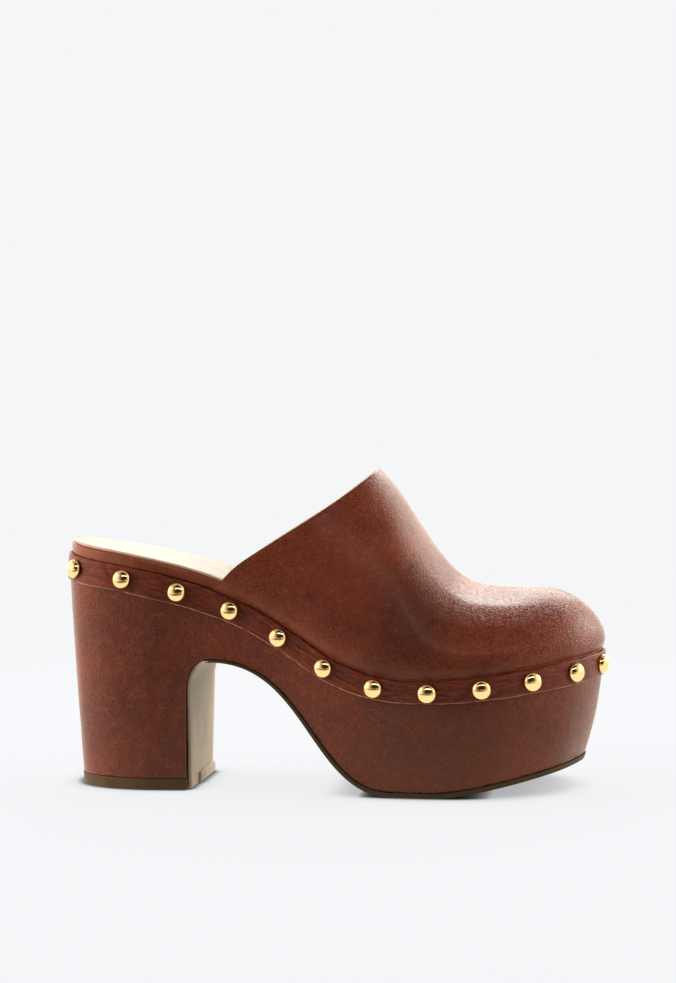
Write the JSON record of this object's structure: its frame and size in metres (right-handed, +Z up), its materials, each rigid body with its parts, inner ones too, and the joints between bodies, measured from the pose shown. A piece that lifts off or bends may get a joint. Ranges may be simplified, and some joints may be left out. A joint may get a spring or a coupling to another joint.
{
  "type": "platform mule clog",
  "caption": "Women's right platform mule clog with a closed toe, a block heel and a studded band around the top of the platform.",
  "frame": {"origin": "on the floor, under the middle of the shoe's bounding box", "axes": "+X to the toe, +Y to the inner side of the foot, +Z up"},
  "size_m": [0.2384, 0.0984, 0.1378],
  "materials": {
    "upper_leather": "smooth, lightly grained brown leather, semi-gloss",
    "platform_leather": "mottled dark brown leather, semi-gloss",
    "band_leather": "dark brown leather, satin",
    "rim_leather": "brown leather around the insole board, satin",
    "sock_leather": "cream leather, matt",
    "outsole_rubber": "taupe rubber, matt",
    "lift_rubber": "dark taupe rubber, matt",
    "stud_brass": "polished gold-coloured dome"
  },
  "bodies": {
    "root": {"platform": "platform_leather", "outsole": "outsole_rubber", "heel_lift": "lift_rubber", "band": "band_leather", "upper": "upper_leather", "insole_board": "rim_leather", "insole_sock": "sock_leather", "stud_01": "stud_brass", "stud_02": "stud_brass", "stud_03": "stud_brass", "stud_04": "stud_brass", "stud_05": "stud_brass", "stud_06": "stud_brass", "stud_07": "stud_brass", "stud_08": "stud_brass", "stud_09": "stud_brass", "stud_10": "stud_brass", "stud_11": "stud_brass", "stud_12": "stud_brass", "stud_13": "stud_brass", "stud_14": "stud_brass", "stud_15": "stud_brass", "stud_16": "stud_brass", "stud_17": "stud_brass", "stud_18": "stud_brass", "stud_19": "stud_brass", "stud_20": "stud_brass", "stud_21": "stud_brass", "stud_22": "stud_brass", "stud_23": "stud_brass", "stud_24": "stud_brass"}
  },
  "joints": []
}
